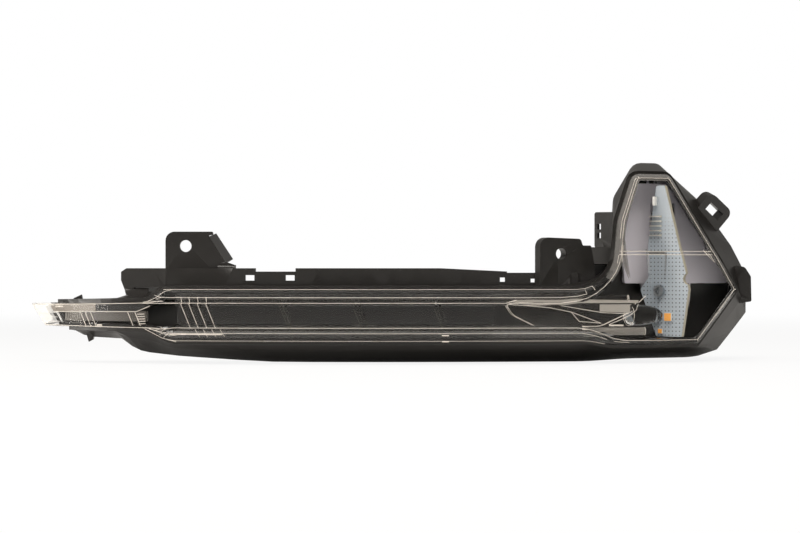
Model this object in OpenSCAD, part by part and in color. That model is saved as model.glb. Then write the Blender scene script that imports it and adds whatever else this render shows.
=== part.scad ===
// Side repeater lamp for a door mirror: a black tub with a clear lens welded over it.
// The long thin bar wraps round the mirror's front, and the tall head at its inner end holds the
// circuit board. Origin: centre of the left ear's hole on the ear's front face. +X runs along the
// bar to the head, +Y points to the back of the lamp and +Z up.

/* [Plan curve] */
// Radius of the long middle bow, seen from above
bow_r = 420; // [380:10:500]
// Radius of the bend that turns the thin end back
tip_bend_r = 78; // [75:1:100]
// Radius of the bend that turns the head back
head_bend_r = 130; // [120:1:160]
// How far the crown of the lens stands before the left ear's front face
crown_depth = 20; // [19:0.5:22]

/* [Lens] */
// Top corner of the clear end
tip_x = -54; // [-56:0.5:-52]
// Level of the crease along the top of the front band
band_top = -18.8; // [-19.2:0.1:-18.4]
// Height of the front band
band_h = 8.1; // [7.8:0.1:8.4]
// Height of the chamfer above the front band
upper_chamfer_h = 4.4; // [4:0.1:4.8]
// Height of the chamfer below the front band
lower_chamfer_h = 4.4; // [4.2:0.1:4.8]
// Depth of both chamfers
chamfer_depth = 6; // [5.5:0.1:6.4]
// Wall of the lens behind its front
lens_wall = 2; // [1.6:0.1:2.2]
// Wall of the lens's skirt
skirt_wall = 1.4; // [1.1:0.1:1.6]
// Height of the straight skirt behind the lens's chamfers
skirt_h = 1.4; // [1.2:0.1:1.8]
// Length of the solid clear end
clear_end = 7; // [6:0.5:8]
// Slant of the clear end, sideways for each mm of height
tip_slant = 0.66; // [0.5:0.02:0.72]
// Level of the step across the head
step_z = -2.8; // [-4:0.1:-1.6]
// Depth of the step across the head
step_depth = 1.4; // [1:0.1:1.8]
// Top edge of the head's lens
lens_top_z = 24.2; // [23.6:0.1:24.6]
// Right corner of the head's lens
lens_corner_x = 186.5; // [185.5:0.5:187.5]
// How far the head's face leans back for each mm above the step
head_lean = 0.18; // [0.12:0.02:0.22]

/* [Housing] */
// Wall of the tub
tub_wall = 2; // [1.6:0.1:2.2]
// Land of the tub that stands out round the lens's skirt
rim_lip = 1.2; // [0.9:0.1:1.5]
// Lowest level of the tub
tub_low = -38.8; // [-39.5:0.1:-38]
// Highest level of the tub, over the head
tub_high = 28.6; // [28:0.1:29.4]
// Depth of the tub behind the front, along the bar
bar_depth = 24; // [23:0.5:26]
// Depth of the tub behind the front, at the head
head_depth = 29; // [28:0.5:31]
// How far the tub stands out past the lens's right corner
tub_margin = 5.7; // [5.2:0.1:6.6]
// Top edge of the flange along the bar
flange_top = -7.4; // [-8:0.1:-7]
// Thickness of the flange
flange_t = 2.2; // [1.8:0.1:2.6]
// Width of each snap notch in the flange
notch_w = 3; // [2.4:0.1:3.4]

/* [Ears and clips] */
// Diameter of the left ear's hole
left_hole_d = 4; // [3.4:0.1:5]
// Thickness of the left ear
left_ear_t = 2.4; // [2:0.1:3]
// Depth of the gusset behind the left ear
gusset_depth = 9; // [7:0.5:10]
// Diameter of the right ear's hole
right_hole_d = 3.8; // [3.2:0.1:4.6]
// Thickness of the right ear
right_ear_t = 3.4; // [3:0.1:4]
// Right ear's hole, right of the left ear's hole
right_hole_x = 125; // [124.5:0.1:125.5]
// Height of the right ear's hole against the left one
right_hole_z = -2.6; // [-3:0.1:-2.2]
// Angle of the right ear, turned to the right
right_ear_yaw = 26; // [22:1:28]
// Length of the slot in the clip loop
loop_slot_l = 6.6; // [6:0.1:7]
// Width of the slot in the clip loop
loop_slot_w = 3; // [2.4:0.1:3.4]
// Depth of the clip loop
loop_t = 5; // [4:0.1:6]

/* [Light guides] */
// Diameter of the two light rods
rod_d = 2.6; // [2.2:0.1:2.8]
// Thickness of the slanted blades that hang from the upper rod
blade_t = 0.8; // [0.6:0.1:1]
// Pitch of the group of blades at the left
blade_pitch = 2.75; // [2.4:0.05:3]
// Number of blades in the group at the left
blade_count = 4; // [2:1:5]
// Slant of the blades
blade_turn = 20; // [14:1:24]
// Diameter of the collimator that faces the LED
bullet_d = 7; // [6.4:0.1:7.4]
// Length of the collimator
bullet_l = 13; // [12:0.5:14]
// Pitch of the flutes on the tip guide
flute_pitch = 1; // [0.8:0.1:1.2]
// Number of flutes on the tip guide
flute_count = 7; // [4:1:8]

/* [Circuit board] */
// Thickness of the board
board_t = 1.6; // [1.2:0.1:1.8]
// Width of the board where it is widest
board_w = 18.4; // [18:0.1:18.8]
// Side of an LED's package
led_w = 2.6; // [2.2:0.1:3]
// Height of an LED's package
led_h = 0.9; // [0.7:0.1:1.1]
// Pitch of the connector's pins
pin_pitch = 1.6; // [1.4:0.1:1.8]
// Number of the connector's pins
pin_count = 5; // [3:1:5]
// Thickness of a pin
pin_t = 0.6; // [0.5:0.05:0.7]
// Outer diameter of the bosses for the board's screws
boss_d = 4.4; // [4:0.1:5]
// Diameter of the board's screws
screw_d = 2; // [1.8:0.1:2.2]
// Depth of the connector's socket
socket_depth = 9; // [8:0.5:11]
// Wall of the connector's socket
socket_wall = 1.5; // [1.2:0.1:1.8]
// Diameter of the vent membrane
vent_d = 9; // [8:0.5:10]

/* [Hidden] */

// Small working gap between pieces that are put together, and the weld's seam round the lens
gap = 0.1;
weld_gap = 0.36;

// Plan curve: three arcs that run into each other, seen from above
crown_x = 63.5;
tip_bend_x = -4;
head_bend_x = 124;
tip_turn = asin((tip_bend_x - crown_x) / bow_r);
head_turn = asin((head_bend_x - crown_x) / bow_r);
bow_c = [crown_x, bow_r - crown_depth];
tip_c = bow_c + (bow_r - tip_bend_r) * [sin(tip_turn), -cos(tip_turn)];
head_c = bow_c + (bow_r - head_bend_r) * [sin(head_turn), -cos(head_turn)];

// Front of the lens at x, and how square it is to the viewer there
function front_y(x) =
    x < tip_bend_x ? tip_c[1] - sqrt(pow(tip_bend_r, 2) - pow(x - tip_c[0], 2))
    : x > head_bend_x ? head_c[1] - sqrt(pow(head_bend_r, 2) - pow(x - head_c[0], 2))
    : bow_c[1] - sqrt(pow(bow_r, 2) - pow(x - bow_c[0], 2));
function squareness(x) =
    x < tip_bend_x ? cos(asin((x - tip_c[0]) / tip_bend_r))
    : x > head_bend_x ? cos(asin((x - head_c[0]) / head_bend_r))
    : cos(asin((x - bow_c[0]) / bow_r));

// Small helpers for outlines
function mix(a, b, t) = a + (b - a) * t;
function ease(a, b, x) = let (t = max(0, min(1, (x - a) / (b - a)))) t * t * (3 - 2 * t);
function unit(v) = v / norm(v);
function steps(a, b, n) = [for (k = [0 : n]) mix(a, b, k / n)];

// Arc of n pieces that rounds the corner p between a and b
function corner_arc(a, p, b, r, n) =
    let (u = unit(a - p), v = unit(b - p), half = acos(u * v) / 2,
        c = p + unit(u + v) * r / sin(half),
        s = p + u * r / tan(half) - c, e = p + v * r / tan(half) - c,
        a0 = atan2(s[1], s[0]), turn = atan2(s[0] * e[1] - s[1] * e[0], s * e))
    [for (k = [0 : n]) c + r * [cos(a0 + turn * k / n), sin(a0 + turn * k / n)]];

// Closed outline with each corner [x, z, radius] rounded
function rounded(c, n = 6) = [
    for (i = [0 : len(c) - 1])
        let (m = len(c), a = c[(i + m - 1) % m], p = c[i], b = c[(i + 1) % m])
        each corner_arc([a[0], a[1]], [p[0], p[1]], [b[0], b[1]], p[2], n)
];

// Open chain through corners [x, z, radius, arc pieces], each straight cut in its own pieces
function chain(c, pieces) =
    let (m = len(c),
        arcs = [for (i = [0 : m - 1])
            let (p = [c[i][0], c[i][1]])
            i == 0 || i == m - 1 ? [p]
            : corner_arc([c[i - 1][0], c[i - 1][1]], p, [c[i + 1][0], c[i + 1][1]], c[i][2], c[i][3])])
    [for (i = [0 : m - 1]) each concat(
        arcs[i],
        i == m - 1 ? [] : [for (k = [1 : 1 : pieces[i] - 1])
            mix(arcs[i][len(arcs[i]) - 1], arcs[i + 1][0], k / pieces[i])])];

// Share of the chain's length that is passed at each of its points
function lengths(p, i = 0, sum = 0) =
    i == len(p) ? [] : let (s = sum + (i == 0 ? 0 : norm(p[i] - p[i - 1])))
    concat([s], lengths(p, i + 1, s));
function shares(p) = let (l = lengths(p), total = l[len(l) - 1]) [for (s = l) s / total];

// Top edge of the lens, round the head
bar_end = head_bend_x;
lens_top = chain([
    [bar_end, band_top + upper_chamfer_h],
    [141.3, band_top + upper_chamfer_h, 13, 7],
    [144, 8.5, 6, 2],
    [149.4, lens_top_z, 3, 3],
    [162.2, lens_top_z, 3, 3],
    [lens_corner_x, -14.8]
], [1, 2, 3, 2, 13]);

// Top edge of the tub's back, with as many points
tub_right_x = lens_corner_x + tub_margin;
tub_top = chain([
    [bar_end, -12.4],
    [142.4, -8.6, 9, 7],
    [143.9, 16.5, 5, 2],
    [151.3, tub_high, 4.5, 3],
    [160, tub_high, 3.5, 3],
    [174.7, 16.1, 5, 2],
    [tub_right_x - 5.7, 0.5, 4, 2],
    [tub_right_x, -9.6, 4, 3],
    [tub_right_x, -22.8]
], [1, 2, 2, 2, 2, 2, 2, 1]);

// Bottom edges under the head, each point below one of the top edge's
head_n = len(lens_top);
head_share = shares(lens_top);
foot_spread = [[0, 0], [0.12, 0.25], [0.22, 0.48], [0.33, 0.61],
    [0.47, 0.67], [0.59, 0.71], [0.96, 0.85], [1, 1]];
lens_right_x = lens_corner_x - 14.7;
tub_foot_x = tub_right_x - 10.8;
tub_foot_lift = 4.2;
function foot_x(right, i) = mix(bar_end, right, lookup(head_share[i], foot_spread));
function lens_low(x) = band_top - band_h - lower_chamfer_h - 1.5 * ease(132, 143, x);
function tub_base(x) =
    tub_low + 0.6 * ease(132, 152, x) + tub_foot_lift * pow(ease(166, 188, x), 2);
lens_foot = [for (i = [0 : head_n - 1]) let (x = foot_x(lens_right_x, i)) [x, lens_low(x)]];
tub_foot = [for (i = [0 : head_n - 1])
    let (x = foot_x(tub_foot_x, i)) [x, tub_base(x)]];

// Thin end: the lens narrows to its front band there, tapers, and ends in a slant
narrow_x = -13;
narrow_edge = 0.5;
tip_drop = 0.95;
tip_lift = 0.5;
function narrow_top(x) = mix(narrow_edge, upper_chamfer_h, ease(narrow_x, -6, x));
function narrow_foot(x) = mix(narrow_edge, lower_chamfer_h, ease(narrow_x, -3, x));
function slant(x, z) =
    let (t = max(0, min(1, (narrow_x - x) / (narrow_x - tip_x))))
    [x + tip_slant * t * (band_top - z), z + t * mix(-tip_drop, tip_lift, (band_top - z) / band_h)];
function lens_bar(x) = [slant(x, band_top + narrow_top(x)), slant(x, band_top - band_h - narrow_foot(x))];
function thin(x) = mix(0.55, 1, ease(-44, -8, x));
function weld_depth(x) = chamfer_depth * thin(x) + lens_wall / squareness(x) + skirt_h;

// Outline of the tub's back along the bar
tub_left_x = tip_x + clear_end + 1;
tub_top_line = [[-46, -18.2], [-22, -17.6], [-18, -13], [0, -12.4]];
tub_foot_line = [[-46, -27.4], [-43, -27.8], [-40, -31.2], [-24, -31.5], [-19.5, -35.1], [-2, -37]];
function tub_bar(x) = [
    slant(x, lookup(x, tub_top_line)),
    slant(x, x < -2 ? lookup(x, tub_foot_line) : mix(-37, tub_low, ease(-8, 34, x)))];
function back_depth(x) =
    mix(weld_depth(x) + 4.5, bar_depth, ease(-40, -10, x))
    + (head_depth - bar_depth) * ease(128, 150, x) - 8 * ease(166, tub_right_x + 2, x);

// Rows of a tray: pairs [top, foot] at the stations, with the row's own inward directions. The
// rows at both ends run inwards along themselves, so that each corner is a mitre
function bar_x(x0) = concat(steps(x0, narrow_x, 8), [-11, -9.5, -8, -6.5, -5, -3], steps(4, bar_end - 8, 9));
function end_pair(top, foot, w) =
    let (n = len(top), row = unit(foot[n - 1] - top[n - 1]))
    [for (c = [top, foot])
        let (back = unit(c[n - 2] - c[n - 1])) c[n - 1] + back * w / abs(cross(back, row))];
function rows(bar, x0, left_w, top, foot, right_w, start_w) =
    let (pairs = concat(
            [for (k = [0, 0.33, 0.67]) bar(x0 + mix(start_w, left_w, k))],
            [for (x = bar_x(x0 + left_w)) bar(x)],
            [for (i = [0 : len(top) - 2]) [top[i], foot[i]]],
            [for (k = [1, 0.67, 0.33, 0]) end_pair(top, foot, mix(start_w, right_w, k))]),
        n = len(pairs))
    [for (i = [0 : n - 1])
        let (a = pairs[max(0, i - 1)], b = pairs[min(n - 1, i + 1)],
            t = unit(b[0] - a[0]), f = unit(b[1] - a[1]), row = unit(pairs[i][1] - pairs[i][0]),
            at_end = min(i, n - 1 - i) <= 3)
        [pairs[i][0], pairs[i][1],
            at_end ? row / abs(cross(t, row)) : [t[1], -t[0]],
            at_end ? -row / abs(cross(f, row)) : [-f[1], f[0]]]];

// Point number j of m across a row, inset at both edges by the widths ins. The rings next to
// the edges take their own inset, and between: the rest is spread by share
function ring_of(i, n) = min(i, n - 1 - i, 3);
function across(row, j, m, ins_top, ins_foot, ring, share) =
    let (k = ring_of(j, m), low = j < m / 2,
        w3 = low ? ins_foot[3] : ins_top[3],
        w = k <= ring ? (low ? ins_foot[k] : ins_top[k]) : mix(low ? ins_foot[0] : ins_top[0], w3, k / 3),
        t3 = row[0] + row[2] * ins_top[3], f3 = row[1] + row[3] * ins_foot[3])
    k < 3 ? (low ? row[1] + row[3] * w : row[0] + row[2] * w) : mix(f3, t3, share);

// Solid between a front and a rear grid of points, closed round their rims. Each quad is cut from
// the nearest corner of the grid
module shell(front, rear) {
    n = len(front);
    m = len(front[0]);
    pts = concat([for (r = front) each r], [for (r = rear) each r]);
    function id(i, j) = i * m + j;
    skin = [for (i = [0 : n - 2]) for (j = [0 : m - 2])
        let (a = id(i, j), b = id(i + 1, j), c = id(i + 1, j + 1), d = id(i, j + 1))
        each (i < n / 2) == (j < m / 2) ? [[a, b, c], [a, c, d]] : [[a, b, d], [b, c, d]]];
    loop = concat(
        [for (i = [0 : n - 1]) id(i, 0)], [for (j = [1 : m - 1]) id(n - 1, j)],
        [for (i = [n - 2 : -1 : 0]) id(i, m - 1)], [for (j = [m - 2 : -1 : 1]) id(0, j)]);
    rim = [for (k = [0 : len(loop) - 1])
        let (a = loop[k], b = loop[(k + 1) % len(loop)]) each [
            [a, b + n * m, b], [a, a + n * m, b + n * m]]];
    back = [for (f = skin) [f[2] + n * m, f[1] + n * m, f[0] + n * m]];
    polyhedron(pts, [for (f = concat(skin, back, rim)) [f[2], f[1], f[0]]], convexity = 10);
}

// The lens: its face, two facets of chamfer and a skirt, with a step across the head
lens_cols = 14;
step_col = 7;
step_rise = 0.02;
head_chamfer = 1.6;
function top_chamfer(row) =
    row[0][0] < 0 ? narrow_top(row[0][0])
    : mix(upper_chamfer_h, head_chamfer, ease(bar_end, 141, row[0][0]));
function foot_chamfer(row) =
    row[1][0] < 0 ? narrow_foot(row[1][0])
    : mix(lower_chamfer_h, head_chamfer, ease(bar_end + 4, 148, row[1][0]));
function lens_base(z, hard) =
    head_lean * max(0, z - step_z)
    + step_depth * (hard ? (z > step_z ? 1 : 0) : ease(step_z - 1, step_z + 1, z));
function lens_share(row, j, top_w, foot_w) =
    let (t = row[0][1] - top_w, f = row[1][1] + foot_w,
        q = max(0.3, min(0.9, (step_z - f) / max(1, t - f))), p = min(q + step_rise, 0.95))
    j < step_col ? q * (j - 3) / 3 : mix(p, 1, (j - step_col) / 3);
function lens_grid(wall, skirt, x0, left_w, right_w, start_w) =
    let (rs = rows(function (x) lens_bar(x), x0, left_w, lens_top, lens_foot, right_w, start_w),
        n = len(rs), m = lens_cols,
        ends = [start_w, start_w, mix(start_w, right_w, 0.6), right_w],
        lefts = [start_w, start_w, mix(start_w, left_w, 0.6), left_w])
    [for (i = [0 : n - 1]) [for (j = [0 : m - 1])
        let (ri = ring_of(i, n), rj = ring_of(j, m), r = min(ri, rj),
            at_end = ri <= rj && ri < 3,
            pair = i < n / 2 ? lens_bar(x0 + lefts[ri]) : end_pair(lens_top, lens_foot, ends[ri]),
            row = at_end ? [pair[0], pair[1], rs[i][2], rs[i][3]] : rs[i],
            ct = top_chamfer(row), cf = foot_chamfer(row),
            it = [skirt, skirt, max(0.59 * ct + 0.7 * skirt, skirt), max(ct + 0.45 * skirt, skirt)],
            jf = [skirt, skirt, max(0.59 * cf + 0.7 * skirt, skirt), max(cf + 0.45 * skirt, skirt)],
            p = across(row, j, m, it + [0, 0, 0.1, 0.2] * sign(skirt), jf + [0, 0, 0.1, 0.2] * sign(skirt),
                ri, lens_share(row, j, it[3], jf[3])),
            x = p[0], z = p[1], back = wall / squareness(x),
            d = r == 0 ? weld_depth(x)
                : r == 1 ? chamfer_depth * thin(x) + back
                : r == 2 ? 0.25 * chamfer_depth * thin(x) + back
                : back)
        [x, front_y(x) + d + lens_base(z, r == 3 && j >= step_col), z]]];

module outer_lens() {
    color("gainsboro", 0.4)
    shell(lens_grid(0, 0, tip_x, 0.6, 1.8, 0),
        lens_grid(lens_wall, skirt_wall, tip_x + clear_end, 2.4, 2.8, skirt_wall));
}

// The tub: a land under the lens's skirt, a sloped floor and a back that follows the plan curve
tub_cols = 10;
edge_back = 1.8;
edge_in = 1.6;
function pair_mix(a, b, t) = [for (k = [0, 1]) mix(a[k], b[k], t)];
function tub_bar_at(ring, x) =
    let (a = lens_bar(x), b = tub_bar(x)) ring == 0 ? a : pair_mix(a, b, ring == 1 ? 0.4 : 1);
function list_mix(a, b, t) = [for (i = [0 : len(a) - 1]) mix(a[i], b[i], t)];
function tub_outline(ring) = ring == 0 ? [lens_top, lens_foot]
    : ring == 1 ? [list_mix(lens_top, tub_top, 0.4), list_mix(lens_foot, tub_foot, 0.4)]
    : [tub_top, tub_foot];
function tub_grid(wall, rim_w) =
    let (m = tub_cols,
        ins = [rim_w, wall + rim_w * (wall > 0 ? 0 : 0.4), wall * 1.3, wall * 0.65 + edge_in],
        outlines = [for (k = [0 : 2]) tub_outline(k)],
        sets = [for (k = [0 : 2]) rows(function (x) tub_bar_at(k, x), tub_left_x,
            ins[3], outlines[k][0], outlines[k][1], ins[3], ins[0])],
        n = len(sets[0]))
    [for (i = [0 : n - 1]) [for (j = [0 : m - 1])
        let (ri = ring_of(i, n), rj = ring_of(j, m), r = min(ri, rj), k = min(r, 2),
            at_end = ri <= rj && ri < 3,
            w = ins[r],
            pair = i < n / 2 ? tub_bar_at(k, tub_left_x + w) : end_pair(outlines[k][0], outlines[k][1], w),
            set = sets[k][i],
            row = at_end ? [pair[0], pair[1], set[2], set[3]] : set,
            p = across(row, j, m, ins, ins, ri, (j - 3) / 3),
            x = p[0], back = back_depth(x) - wall / squareness(x),
            edge = back - (wall > 0 ? 0 : edge_back * thin(x)),
            land = weld_depth(x) + lens_base(p[1], false) + weld_gap / pow(squareness(x), 2),
            d = r == 0 ? land : r == 1 ? mix(land, edge, 0.3) : r == 2 ? edge : back)
        [x, front_y(x) + d, p[1]]]];

module tub() {
    shell(tub_grid(tub_wall, skirt_wall), tub_grid(0, -rim_lip));
}

// Ring segment round the middle bow from xa to xb; its section is drawn as [depth, z]
module bow_sweep(xa, xb, depth) {
    r = bow_r - depth;
    a = asin((xa - crown_x) / r);
    b = asin((xb - crown_x) / r);
    translate([bow_c[0], bow_c[1], 0])
        rotate_extrude(angle = b - a, start = a - 90, $fn = 200)
            translate([r, 0])
                mirror([1, 0])
                    children();
}

// The same round the thin end's bend
module tip_sweep(xa, xb, depth) {
    r = tip_bend_r - depth;
    a = asin((xa - tip_c[0]) / r);
    b = asin((xb - tip_c[0]) / r);
    translate([tip_c[0], tip_c[1], 0])
        rotate_extrude(angle = b - a, start = a - 90, $fn = 200)
            translate([r, 0])
                mirror([1, 0])
                    children();
}

// Plate of thickness t from y on, drawn in the view from the front
module plate(y, t) {
    translate([0, y + t, 0])
        rotate([90, 0, 0])
            linear_extrude(t)
                children();
}

// Flange: a wall on top of the tub that the mirror's frame snaps over
flange_depth = 14;
flange_root = -13.8;
flange_left = -22;
flange_foot = -17.8;
flange_runs = [[flange_left, 23.4, 0], [23.3, 37, -1.1], [36.9, 107, 0], [106.9, 131, -1.5]];
flange_fall = [85, 107.5];
flange_end = -19.4;
notches = [[21.7, -10.6, notch_w, 1.8], [35.1, -10.6, notch_w, 1.8],
    [105.5, -11.2, 1.7, 1.4], [115.6, -11.5, 1.4, 1.2]];
module flange() {
    difference() {
        union() {
            for (run = flange_runs)
                bow_sweep(run[0], run[1], flange_depth)
                    translate([0, flange_root])
                        square([flange_t, flange_top + run[2] - flange_root]);
            bow_sweep(flange_left, -17.5, flange_depth)
                translate([0, flange_foot])
                    square([flange_t, flange_root - flange_foot + 1]);
            bow_sweep(flange_end - 1, -12.6, flange_depth)
                polygon([[0.5, flange_root - 0.2], [0.5, flange_foot], [-3, flange_foot]]);
        }
        for (n = notches)
            translate([n[0], front_y(n[0]) + flange_depth, n[1]])
                cube([n[2], 4 * flange_t, n[3]], center = true);
        plate(-20, 40)
            polygon([[flange_fall[0], flange_top], [flange_fall[1], flange_top - 1.1],
                [flange_fall[1], flange_top + 1], [flange_fall[0], flange_top + 1]]);
        plate(-20, 40)
            polygon([[flange_left - 3, flange_top + 0.4], [flange_end, flange_top + 0.4],
                [flange_left + 0.1, flange_top - 1.2], [flange_left + 0.1, flange_top - 4],
                [flange_end, flange_foot], [flange_end, flange_foot - 1],
                [flange_left - 3, flange_foot - 1]]);
    }
}

// Left ear, with its gusset along the slanted edge
ear_left = -6.7;
ear_right = 9.1;
ear_top = 4.8;
gusset_from = [7.5, 3.5];
gusset_to = [13.2, -5.2];
gusset_t = 1.6;
ear_foot = [16.3, -6.3];
module left_ear() {
    edge = gusset_to - gusset_from;
    difference() {
        union() {
            plate(0, left_ear_t)
                polygon(rounded([
                    [ear_left, flange_root, 0.3], [ear_left, ear_top, 3], [ear_right, ear_top, 0.5],
                    [ear_right, gusset_from[1] + 0.3, 0.2], [gusset_from[0], gusset_from[1], 0.3],
                    [gusset_to[0], gusset_to[1], 0.6], [ear_foot[0], ear_foot[1], 0.3],
                    [ear_foot[0], flange_root, 0.3]]));
            translate([gusset_from[0], 0, gusset_from[1]])
                rotate([0, -atan2(edge[1], edge[0]), 0])
                    rotate([14, 0, 0])
                        translate([0.4, 0.4, -gusset_t])
                            cube([norm(edge), gusset_depth - 0.4, gusset_t]);
            translate([gusset_to[0] - 2.4, -1.4, flange_root])
                cube([ear_foot[0] + 2.4 - gusset_to[0], gusset_depth, ear_foot[1] - flange_root]);
        }
        translate([0, -1, 0])
            rotate([-90, 0, 0])
                cylinder(h = left_ear_t + 2, d = left_hole_d, $fn = 48);
    }
}

// Right ear: thicker, and turned to the right
right_ear_y = -2.5;
module right_ear() {
    drop = flange_root - right_hole_z;
    translate([right_hole_x, right_ear_y, right_hole_z])
        rotate([0, 0, right_ear_yaw])
            difference() {
                plate(0, right_ear_t)
                    polygon(rounded([
                        [-8, drop, 0.3], [-8, 5.5, 3.2], [7.6, 5, 1.2], [8.4, 2.8, 0.4],
                        [11.6, 2.8, 0.6], [13, -4, 1], [13, drop, 0.3]]));
                translate([0, -1, 0])
                    rotate([-90, 0, 0])
                        cylinder(h = right_ear_t + 2, d = right_hole_d, $fn = 48);
            }
}

// Clip loop on the head's slope, slotted bracket on its left, rounded tab on its right, and the
// slanted shelf between the bracket and the right ear, with a web under it
loop_c = [179.8, 12.1];
loop_y = 25;
loop_turn = 41;
loop_yaw = 24;
module clip_loop() {
    border = 2.7;
    side = loop_slot_l / 2 + border;
    translate([loop_c[0], loop_y, loop_c[1]])
        rotate([0, loop_turn, 0])
            rotate([0, 0, loop_yaw])
                difference() {
                    plate(0, loop_t)
                        polygon(rounded([
                            [-side, -loop_slot_w / 2 - 5, 0.5], [-side + 0.3, loop_slot_w / 2 + border, 2.6],
                            [side - 0.3, loop_slot_w / 2 + border, 2.6], [side, -loop_slot_w / 2 - 5, 0.5]]));
                    plate(-1, loop_t + 2)
                        square([loop_slot_l, loop_slot_w], center = true);
                }
}
bracket_at = [145.4, 9];
bracket_yaw = -28;
module side_bracket() {
    translate([bracket_at[0], bracket_at[1], 0])
        rotate([0, 0, bracket_yaw])
            difference() {
                plate(0, 2)
                    polygon(rounded([[-9, -0.3, 0.6], [-9, 11.6, 0.8], [0, 11.6, 0.3], [0, -0.3, 0.3]]));
                for (z = [3.7, 6.7])
                    plate(-1, 4)
                        translate([-7.3, z])
                            square([1.3, 1.9], center = true);
            }
}
module side_tab() {
    plate(27, 6)
        translate([tub_right_x, 0])
            polygon(rounded([[-8.2, -20, 0.5], [-5, -6.4, 0.8], [-1.6, -7, 1.5], [0.5, -10.2, 1.8],
                [0.7, -18.9, 0.6], [-2.7, -19.4, 0.5]]));
}
shelf_from = [133.6, 4.6, -6];
shelf_rise = 5.7;
shelf_l = 10;
module shelf() {
    translate(shelf_from)
        rotate([90, 0, 90])
            linear_extrude(shelf_l)
                polygon([[0, 0], [5.4, shelf_rise], [7, shelf_rise], [7, shelf_rise - 1.4], [2.4, -0.4]]);
    plate(shelf_from[1] + 2, 2.4)
        translate([shelf_from[0], shelf_from[2]])
            polygon([[-3.6, -7], [-3.6, 0.2], [9, 0.2], [6.9, -2.4], [3.4, -5], [-0.6, -6.6]]);
}

// Circuit board's frame: x runs along the board, y into it, and z is the lamp's own height. The
// board's right edge stands close behind the lens and its left edge before the grey panel
board_right = 7.4;
board_left = board_right - board_w;
board_edge_x = 167.8;
board_edge = [board_edge_x, front_y(board_edge_x) + 3.6];
board_yaw = asin((head_depth - 18.185) / board_w);
board_at = board_edge - board_right * [cos(board_yaw), -sin(board_yaw)];
module on_board() {
    translate([board_at[0], board_at[1], 0])
        rotate([0, 0, -board_yaw])
            children();
}
function board_point(x, y = 0) =
    board_at + x * [cos(board_yaw), -sin(board_yaw)] + y * [sin(board_yaw), cos(board_yaw)];
screw_spots = [[-3.3, -15], [-4.4, -23.5]];
screw_bite = 4;
board_outline = [
    [-4.8, 20.4, 0.5], [-1.6, 20.4, 0.5], [3.8, 0, 3], [6.3, -8.7, 2], [board_right, -14.6, 1],
    [4.8, -30.4, 0.5], [-4.8, -30.4, 0.5], [board_left, -14.6, 1], [-7.6, -10.4, 1], [-8, 0, 3]];

// Pillars that stand on the tub's back wall and carry the board's screws
module board_pillar(spot) {
    y0 = board_t + gap / 2;
    a = board_point(spot[0] - 2.6, y0);
    b = board_point(spot[0] + 5, y0);
    wa = front_y(a[0]) + back_depth(a[0]) - tub_wall / 2;
    wb = front_y(b[0]) + back_depth(b[0]) - tub_wall / 2;
    difference() {
        translate([0, 0, spot[1] - boss_d / 2])
            linear_extrude(boss_d)
                polygon([a, b, [b[0], wb], [a[0], wa]]);
        on_board()
            translate([spot[0], 0, spot[1]])
                rotate([-90, 0, 0])
                    cylinder(h = board_t + screw_bite + 1, d = screw_d + gap, $fn = 32);
    }
}

// Connector at the back of the head: a socket with one row of pins
pin_spot = -3.21;
pin_x = board_point(pin_spot)[0];
pin_mid_z = 6.8;
socket_floor_y = front_y(pin_x) + head_depth + 1.9;
socket_root_y = socket_floor_y - 5.6;
pin_row = pin_pitch * (pin_count - 1);
socket_in = [7, pin_row + 5.6];
socket_out = socket_in + 2 * [socket_wall, socket_wall];
pin_zs = [for (k = [0 : pin_count - 1]) pin_mid_z - pin_row / 2 + k * pin_pitch];
module socket_body() {
    plate(socket_root_y, socket_floor_y - socket_root_y + socket_depth)
        translate([pin_x, pin_mid_z])
            square(socket_out, center = true);
    plate(socket_floor_y + socket_depth - 5, 2)
        translate([pin_x, pin_mid_z + socket_out[1] / 2 + 0.8])
            square([4, 1.8], center = true);
}
module socket_cuts() {
    plate(socket_floor_y, socket_depth + 1)
        translate([pin_x, pin_mid_z])
            square(socket_in, center = true);
    for (z = pin_zs)
        plate(socket_root_y - 5, 15)
            translate([pin_x, z])
                square(pin_t + gap / 2, center = true);
}

// Vent in the back of the bar, under its membrane
vent_at = [100, -25];
vent_y = front_y(vent_at[0]) + bar_depth + 1;
module vent_boss() {
    translate([vent_at[0], vent_y, vent_at[1]])
        rotate([90, 0, 0])
            cylinder(h = 2.4, d = vent_d + 2, $fn = 64);
}

// Posts on the tub's floor that carry the black trim, and pads that carry the grey panel
post_xs = [20, 64, 108];
post_z = band_top - band_h / 2;
post_d = 4;
bezel_depth = 11.2;
module trim_posts() {
    for (x = post_xs)
        let (y = front_y(x) + bezel_depth + 0.4)
            translate([x, y, post_z])
                rotate([-90, 0, 0])
                    cylinder(h = front_y(x) + bar_depth - tub_wall / 2 - y, d = post_d, $fn = 32);
}

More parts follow.
